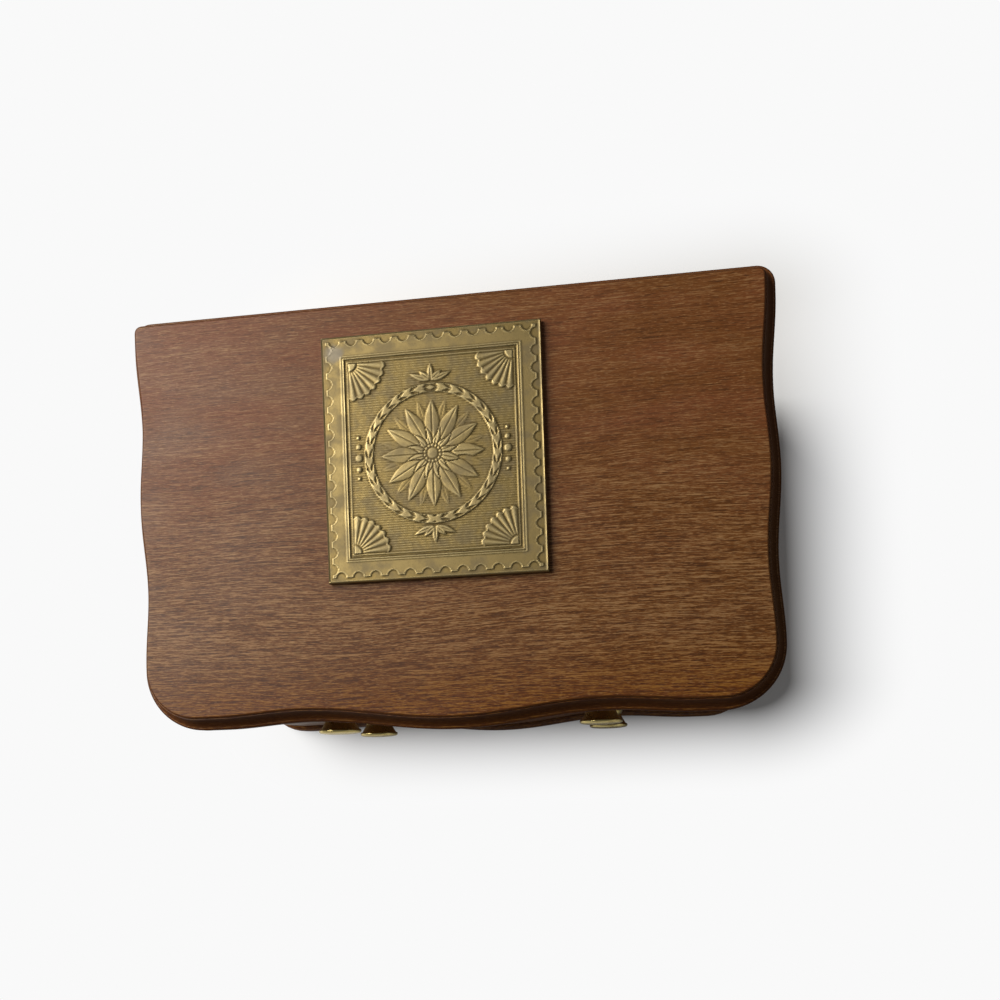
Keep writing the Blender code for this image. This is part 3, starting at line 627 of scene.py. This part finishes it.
def makePad(node):
    low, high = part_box(node)
    size = high - low
    shape = bmesh.new()
    bmesh.ops.create_cone(
        shape, cap_ends=True, segments=feltShape["padSides"], radius1=size.x / 2,
        radius2=size.x / 2, depth=size.z, matrix=Matrix.Translation((low + high) / 2))
    easeEdges(shape, feltShape["easing"], segments=3)
    roughen(shape, [face for face in shape.faces if abs(face.normal.z) < 0.9])
    pad = newPiece(node, shape, felt)


for level in ("upper", "lower"):
    makeLining(level)
for end in ("front", "back"):
    for side in ("left", "right"):
        makePad(f"felt_pad_{end}_{side}")
print("felt cut")


# Pressed plaque: a scalloped rim, a double frame, a leaf wreath round a flower, and a shell fan in
# each corner

plaqueLook = {
    # Lengths are in mm and heights are shares of the relief; a line is its height and half width
    "relief": 0.32, "edgeRound": 0.55, "cells": (240, 405),
    "soft": 0.18, "fine": 0.12,                      # half the width of an edge, and of a fine one
    "sway": (0.11, 0.03),                            # turns per mm and depth of the plate's waves
    "rubbedEdge": (0.8, 0.08),                       # width, and the ridge it is as bright as
    # The rim, with the number of its half rounds across and deep
    "rim": 1.4, "scallop": 1.5, "across": 12, "deep": 14, "lip": 0.45,
    "field": 0.62, "marginDrop": 0.27, "rimLine": (0.92, 0.13), "rimLineIn": 0.10,
    "frameMargin": 5.5, "frameBar": 1.1, "frameHeight": 0.96, "groove": (0.5, 0.14),
    "thinBar": (0.62, 0.20), "thinBarIn": 0.85,
    # The ground's pitch of lines, their least height and what is added unevenly, and its own
    # height outside and inside the wreath
    "hatch": 0.66, "hatchHeight": (0.12, 0.16), "ground": (0.10, 0.16), "innerHatch": 0.8,
    # The wreath's leaves: slant and half width in pitches, height of their bed and their own
    "wreath": 19.0, "wreathBar": 2.2, "leaves": 30, "leafSlant": 0.42, "leafHalf": 0.36,
    "leafHeight": (0.30, 0.62), "leafSoft": 0.10, "stem": (0.95, 0.16),
    "wreathRim": (0.92, 0.14), "wreathRimIn": 0.05,
    # Rows of petals: turn in pitches, start, end, half width and height
    "petals": 12, "petalSoft": 0.3, "petalRows": [
        (0.5, 6.0, 15.1, 1.5, 0.46), (0.0, 3.6, 14.6, 2.35, 0.82), (0.5, 1.8, 7.8, 1.30, 1.0)],
    # The boss: a bed with beads round a domed button, heights as base and rise
    "boss": 2.7, "bossHeight": (0.55, 0.45), "beads": 14, "beadRing": 2.15, "bead": (0.45, 0.34),
    "beadBed": 0.50, "button": 1.5, "buttonHeight": (0.62, 0.38),
    "fanIn": 1.25, "fanReach": 9.6, "flutes": 7, "fluteBulge": 0.75, "fanHeight": (0.40, 0.50),
    "fanRim": (0.95, 0.17), "fanRimIn": 0.25, "fanHub": 2.6, "hubHeight": (0.45, 0.5),
    # The sprigs' leaves, as lean and length, and the pearls, as place along the side and radius
    "sprigs": [(0.0, 4.6), (0.95, 4.0), (-0.95, 4.0), (1.35, 6.2), (-1.35, 6.2)],
    "sprigLeaf": (0.95, 0.95), "sprigGap": 0.9, "sprigBend": 0.020,
    "pearls": [(0.0, 1.05), (3.1, 0.75), (-3.1, 0.75), (5.6, 0.5), (-5.6, 0.5)],
    "pearlGap": 1.75, "pearlHeight": (0.55, 0.4),
}


def below(value, edge, soft=None):
    # 1 where value is below edge, with a soft change
    soft = plaqueLook["soft"] if soft is None else soft
    share = np.clip((edge + soft - value) / (2 * soft), 0.0, 1.0)
    return share * share * (3 - 2 * share)


def dome(distance, radius):
    # A half ball's height over its own foot, from 1 in its middle to 0
    return np.sqrt(np.clip(1 - (distance / radius) ** 2, 0, 1))


def leafShape(along, across, length, width):
    # A pointed leaf from 0 to length with a vein; 0 outside it
    share = np.clip(along / length, 0.0, 1.0)
    half = width * np.sin(math.pi * share ** 0.85) + 1e-6
    inside = below(np.abs(across), half * 0.9) * (along > 0) * (along < length)
    vein = 1 - 0.45 * below(np.abs(across), 0.10, plaqueLook["fine"])
    return inside * (0.62 + 0.38 * (1 - np.clip(np.abs(across) / half, 0, 1) ** 2)) * vein


def rimRelief(x, y, halfX, halfY, edge):
    # A thin raised lip, then a lower margin that bites into the field in half rounds, with a fine
    # ridge along its line
    look = plaqueLook
    alongX, alongY = halfX - look["rim"], halfY - look["rim"]
    toField = look["rim"] - edge                     # above 0 in the margin
    for here, there, along, across, count in (
            (x, y, alongX, alongY, look["across"]), (y, x, alongY, alongX, look["deep"])):
        pitch = 2 * along / count
        offset = np.mod(here + along, pitch) - pitch / 2
        bite = look["scallop"] - np.hypot(offset, across - np.abs(there))
        toField = np.maximum(toField, np.where(np.abs(here) < along, bite, -math.inf))
    height, half = look["rimLine"]
    rim = look["field"] - look["marginDrop"] * below(-toField, 0.0, look["fine"])
    rim = np.maximum(rim, height * below(np.abs(toField + look["rimLineIn"]), half, half))
    return np.maximum(rim, below(edge, look["lip"], look["fine"]))


def frameRelief(toFrame):
    # A bar with a groove along its middle, and a thin bar inside it
    look = plaqueLook
    bar = look["frameBar"]
    fromMiddle = np.abs(toFrame + bar / 2)
    depth, half = look["groove"]
    band = below(fromMiddle, bar / 2) - depth * below(fromMiddle, half)
    height, half = look["thinBar"]
    thin = height * below(np.abs(toFrame + bar + look["thinBarIn"]), half)
    return np.maximum(band, thin) * look["frameHeight"]


def groundRelief(x, y, radius):
    # Fine lines of uneven height, fainter on the raised ground inside the wreath
    look = plaqueLook
    uneven = 0.5 + 0.5 * np.sin(x * 1.9 + 3.0 * np.sin(y * 2.7)) * np.sin(y * 5.1 + 1.3 * x)
    least, more = look["hatchHeight"]
    lines = (0.5 + 0.5 * np.cos(math.tau * y / look["hatch"])) * (least + more * uneven)
    outer, inner = look["ground"]
    return np.where(radius > look["wreath"], outer + lines, inner + lines * look["innerHatch"])


def wreathRelief(radius, angle):
    # Slanting leaves on both sides of a stem, between two thin rims
    look = plaqueLook
    half = look["wreathBar"] / 2
    fromStem = radius - (look["wreath"] - half)
    across = np.abs(fromStem)
    turn = angle * look["leaves"] / math.tau
    slanted = np.mod(turn - across * look["leafSlant"] * np.sign(np.cos(angle)), 1.0)
    leafHalf, soft = look["leafHalf"] * dome(across, half), look["leafSoft"]
    bed, rise = look["leafHeight"]
    wreath = below(across, half) * (bed + rise * below(np.abs(slanted - 0.5), leafHalf, soft))
    height, width = look["stem"]
    wreath = np.maximum(wreath, height * below(across, width, soft))
    height, width = look["wreathRim"]
    fromRim = np.abs(across - half + look["wreathRimIn"])
    return np.maximum(wreath, height * below(fromRim, width, look["fine"]))


def flowerRelief(x, y, radius, angle):
    # Long petals over spear tips, short petals over both, and a beaded boss
    look = plaqueLook
    flower = np.zeros_like(x)
    for number in range(look["petals"]):
        for turned, start, end, width, lift in look["petalRows"]:
            a = (number + turned) * math.tau / look["petals"]
            along = x * math.cos(a) + y * math.sin(a) - start
            side = -x * math.sin(a) + y * math.cos(a)
            petal = leafShape(along, side, end - start, width) * lift
            # A petal hides what lies under it, softly along its edge
            covered = flower * (1 - below(0.0, petal, look["petalSoft"]))
            flower = np.where(petal > 0.04, np.maximum(petal, covered), flower)
    reach, ring, count = look["boss"], look["beadRing"], look["beads"]
    bed, rise = look["bossHeight"]
    boss = below(radius, reach) * (bed + rise * dome(radius, reach + 0.2))
    beadTurn = np.mod(angle * count / math.tau, 1.0) - 0.5
    height, half = look["bead"]
    beads = below(np.hypot(beadTurn * math.tau * ring / count, radius - ring), half, look["fine"])
    boss = np.where(radius < reach - 0.1, look["beadBed"] + height * beads, boss)
    bed, rise = look["buttonHeight"]
    boss = np.where(radius < look["button"], bed + rise * dome(radius, look["button"]), boss)
    flower = np.where(radius < reach + 0.05, np.maximum(boss, 0.4), flower)
    return flower * below(radius, look["wreath"] - look["wreathBar"] - 0.5)


def fanRelief(x, y, cornerX, cornerY):
    # Flutes that spread from a round hub in each corner of the inner frame
    look = plaqueLook
    fromX, fromY = cornerX - np.abs(x), cornerY - np.abs(y)
    reach = np.hypot(fromX, fromY)
    spread = np.arctan2(np.maximum(fromY, 0), np.maximum(fromX, 0)) / (math.pi / 2)
    flute = np.abs(np.sin(spread * math.pi * look["flutes"]))
    fanEdge = look["fanReach"] + look["fluteBulge"] * flute
    bed, rise = look["fanHeight"]
    fan = below(reach, fanEdge) * (bed + rise * flute * np.clip(reach / 4.0, 0.35, 1.0))
    height, half = look["fanRim"]
    fromRim = np.abs(reach - fanEdge + look["fanRimIn"])
    fan = np.maximum(fan, below(fromRim, half, look["fine"]) * height)
    hub = look["fanHub"]
    bed, rise = look["hubHeight"]
    fan = np.where(reach < hub, bed + rise * below(reach, hub - 0.5), fan)
    return fan * (fromX > -0.1) * (fromY > -0.1)


def sprigRelief(x, y):
    # A sprig of five leaves above and below the wreath, and five pearls at each side
    look = plaqueLook
    sprig = np.zeros_like(x)
    height, width = look["sprigLeaf"]
    for lean, length in look["sprigs"]:
        baseY = np.abs(y) - (look["wreath"] + look["sprigGap"])
        along = baseY * math.cos(lean) + x * math.sin(lean)
        side = -baseY * math.sin(lean) + x * math.cos(lean)
        side += look["sprigBend"] * along ** 2 * np.sign(lean)
        sprig = np.maximum(sprig, leafShape(along, side, length, width) * height)
    bed, rise = look["pearlHeight"]
    for offset, radius in look["pearls"]:
        away = np.hypot(np.abs(x) - (look["wreath"] + look["pearlGap"]), y - offset)
        sprig = np.maximum(sprig, below(away, radius) * (bed + rise * dome(away, radius)))
    return sprig


def plaqueRelief(x, y, halfX, halfY):
    # 0 is the deepest ground and 1 the highest ridge
    look = plaqueLook
    edge = np.minimum(halfX - np.abs(x), halfY - np.abs(y))
    radius, angle = np.hypot(x, y), np.arctan2(y, x)
    bar = look["frameBar"]
    frameX, frameY = halfX - look["frameMargin"], halfY - look["frameMargin"]
    toFrame = np.maximum(np.abs(x) - frameX, np.abs(y) - frameY)
    inside = below(toFrame, -bar)
    fans = fanRelief(x, y, frameX - bar - look["fanIn"], frameY - bar - look["fanIn"])
    # The frame cuts off the rim's field
    rim = rimRelief(x, y, halfX, halfY, edge) * (1 - below(toFrame, -bar * 0.3))
    height = np.maximum.reduce([
        rim, frameRelief(toFrame), groundRelief(x, y, radius) * inside,
        wreathRelief(radius, angle), flowerRelief(x, y, radius, angle), fans * inside,
        sprigRelief(x, y) * inside])
    # The pressed edge turns down in a quarter round
    turned = look["edgeRound"]
    drop = turned - np.sqrt(turned ** 2 - np.maximum(turned - edge, 0.0).clip(max=turned) ** 2)
    return np.clip(height, 0.0, 1.0) - drop / look["relief"]


def blurred(field, cells):
    # Mean over a square of cells, wrapped at the edges
    total = np.zeros_like(field)
    for dx in range(-cells, cells + 1):
        for dy in range(-cells, cells + 1):
            total += np.roll(np.roll(field, dx, 0), dy, 1)
    return total / (2 * cells + 1) ** 2


def makePlaque():
    look = plaqueLook
    low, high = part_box("brass_plaque")
    middle, size = (low + high) / 2, high - low
    halfX, halfY = size.x / 2 / mm, size.y / 2 / mm
    cellsX, cellsY = look["cells"]
    shape = bmesh.new()
    bmesh.ops.create_grid(
        shape, x_segments=cellsX, y_segments=cellsY, size=1.0,
        matrix=Matrix.Translation((middle.x, middle.y, high.z))
        @ Matrix.Diagonal((size.x / 2, size.y / 2, 1.0, 1.0)))
    places = np.array([vert.co[:2] for vert in shape.verts])
    x, y = (places[:, 0] - middle.x) / mm, (places[:, 1] - middle.y) / mm
    relief = plaqueRelief(x, y, halfX, halfY)
    rate, depth = look["sway"]
    sway = [noise.noise(Vector((a * rate, b * rate, 3.0))) for a, b in zip(x, y)]
    for vert, lift, lean in zip(shape.verts, relief, sway):
        vert.co.z = high.z - ((1 - lift) * look["relief"] + depth * (lean + 1) / 2) * mm
    # How far each place stands above its surroundings; hands rub the plate's edge bright
    column = np.rint((x + halfX) / (2 * halfX) * cellsX).astype(int)
    row = np.rint((y + halfY) / (2 * halfY) * cellsY).astype(int)
    field = np.zeros((cellsX + 1, cellsY + 1))
    field[column, row] = relief
    crease = relief - blurred(field, 3)[column, row]
    width, brightness = look["rubbedEdge"]
    fromEdge = np.minimum(halfX - np.abs(x), halfY - np.abs(y))
    crease = np.where(fromEdge < width, brightness, crease)
    # The plate's edge and its flat back
    rim = [edge for edge in shape.edges if edge.is_boundary]
    drawn = bmesh.ops.extrude_edge_only(shape, edges=rim)["geom"]
    for item in drawn:
        if isinstance(item, bmesh.types.BMVert):
            item.co.z = low.z
    bmesh.ops.contextual_create(shape, geom=[edge for edge in shape.edges if edge.is_boundary])
    bmesh.ops.recalc_face_normals(shape, faces=shape.faces)
    shape.normal_update()
    piece = newPiece("brass_plaque", shape, agedBrass, smoothAngle=60.0)
    # The material reads both from the mesh; they are 0 on the plate's foot
    foot = np.zeros(len(piece.data.vertices) - len(relief))
    for name, values in (("relief", relief), ("crease", crease)):
        layer = piece.data.attributes.new(name, "FLOAT", "POINT")
        layer.data.foreach_set("value", np.concatenate([values, foot]).astype(np.float32))


makePlaque()
print("plaque pressed")


# Floor, light and camera

studio = {
    "floor": "#f4f4f3", "far": (0.948, 0.948, 0.948, 1.0), "floorHalf": 3.0,
    # Middle, half size and fade of the lit paper, mm, and how many fades out it ends
    "litPaper": ((17.5, 22.8), (70.4, 66.5), (44.0, 30.5)), "fadeEnd": 1.35,
    "bounce": "#8c8a86", "mirrored": "#cfcecc",      # the floor as it lights the chest, in metal
    "ambient": 0.13,                                 # of the room, which the camera sees white
    # Grey of the room's walls in shiny faces, and the heights where they end and are full
    "walls": 0.42, "wallHeights": (0.72, 0.30),
    # name: place and size in metres, power in watts
    "lamps": {"window": ((-0.60, 0.28, 0.61), 0.75, 11.1)},
    "lampAim": (0.0, 0.0, 0.08), "lampColor": (1.0, 0.985, 0.96),
    "camera": (0.05651, -0.06961, 0.35447), "cameraTurn": (-0.008382, 0.128890, -0.034106),
    "sensor": 36.0, "lens": 34.92, "shift": (-0.03388, 0.26228), "clip": (0.01, 20.0),
}


def makeFloor():
    shape = bmesh.new()
    bmesh.ops.create_grid(shape, x_segments=8, y_segments=8, size=studio["floorHalf"])
    mesh = bpy.data.meshes.new("floor")
    shape.to_mesh(mesh)
    shape.free()
    material, tree = newMaterial("paperFloor")
    # Lit paper, which keeps the shadow, close round the chest; further out the camera sees plain
    # pale ground
    middle, half, fade = studio["litPaper"]
    place = vectorNode(tree, "SUBTRACT", inMillimetres(tree), (*middle, 0.0))
    place = vectorNode(tree, "ABSOLUTE", place)
    place = vectorNode(tree, "SUBTRACT", place, (*half, 0.0))
    place = vectorNode(tree, "MAXIMUM", place, (0.0, 0.0, 0.0))
    place = vectorNode(tree, "DIVIDE", place, (*fade, 1.0))
    near = mathNode(tree, "SUBTRACT", studio["fadeEnd"], vectorNode(tree, "LENGTH", place))
    near = mathNode(tree, "MINIMUM", mathNode(tree, "MAXIMUM", near, 0.0), 1.0)
    path = addNode(tree, "ShaderNodeLightPath").outputs
    seen = path["Is Camera Ray"]
    far = mathNode(tree, "SUBTRACT", 1.0, mathNode(tree, "MULTIPLY", near, near))
    # Light that the paper throws back on the chest is kept low, as on a dark table
    paper = blendColors(
        tree, path["Is Glossy Ray"], toLinear(studio["bounce"]), toLinear(studio["mirrored"]))
    paper = blendColors(tree, seen, paper, toLinear(studio["floor"]))
    lit = addNode(tree, "ShaderNodeBsdfDiffuse", {"Color": paper})
    plain = addNode(tree, "ShaderNodeEmission", {"Color": studio["far"], "Strength": 1.0})
    mixed = addNode(tree, "ShaderNodeMixShader", {
        0: mathNode(tree, "MULTIPLY", far, seen), 1: lit.outputs[0], 2: plain.outputs[0]})
    finishMaterial(tree, mixed.outputs[0])
    mesh.materials.append(material)
    floor = bpy.data.objects.new("floor", mesh)
    bpy.context.scene.collection.objects.link(floor)


def makeLights():
    for name, (place, size, power) in studio["lamps"].items():
        data = bpy.data.lights.new(name, "AREA")
        data.shape = "DISK"
        data.size, data.energy, data.color = size, power, studio["lampColor"]
        lamp = bpy.data.objects.new(name, data)
        lamp.location = place
        toAim = Vector(studio["lampAim"]) - lamp.location
        lamp.rotation_euler = toAim.to_track_quat("-Z", "Y").to_euler()
        bpy.context.scene.collection.objects.link(lamp)
    world = bpy.data.worlds.new("studio")
    bpy.context.scene.world = world
    world.use_nodes = True
    tree = world.node_tree
    tree.nodes.clear()
    path = addNode(tree, "ShaderNodeLightPath").outputs
    seen = mathNode(tree, "MAXIMUM", path["Is Camera Ray"], path["Is Transmission Ray"])
    direction = addNode(tree, "ShaderNodeTexCoord").outputs["Generated"]
    height = addNode(tree, "ShaderNodeSeparateXYZ", {0: direction}).outputs["Z"]
    walls = mathNode(
        tree, "MULTIPLY", remap(tree, height, *studio["wallHeights"]), path["Is Glossy Ray"])
    dim, bright = [(studio[grey],) * 3 + (1.0,) for grey in ("ambient", "walls")]
    room = blendColors(tree, seen, blendColors(tree, walls, dim, bright), studio["far"])
    sky = addNode(tree, "ShaderNodeBackground", {"Color": room})
    addNode(tree, "ShaderNodeOutputWorld", {"Surface": sky.outputs[0]})


def makeCamera():
    data = bpy.data.cameras.new("camera")
    data.sensor_width = studio["sensor"]
    data.lens = studio["lens"]
    data.shift_x, data.shift_y = studio["shift"]
    data.clip_start, data.clip_end = studio["clip"]
    camera = bpy.data.objects.new("camera", data)
    camera.location = studio["camera"]
    camera.rotation_euler = Euler(studio["cameraTurn"])
    bpy.context.scene.collection.objects.link(camera)
    bpy.context.scene.camera = camera


makeFloor()
makeLights()
makeCamera()
bpy.context.scene.view_settings.view_transform = "Standard"
print("studio lit")
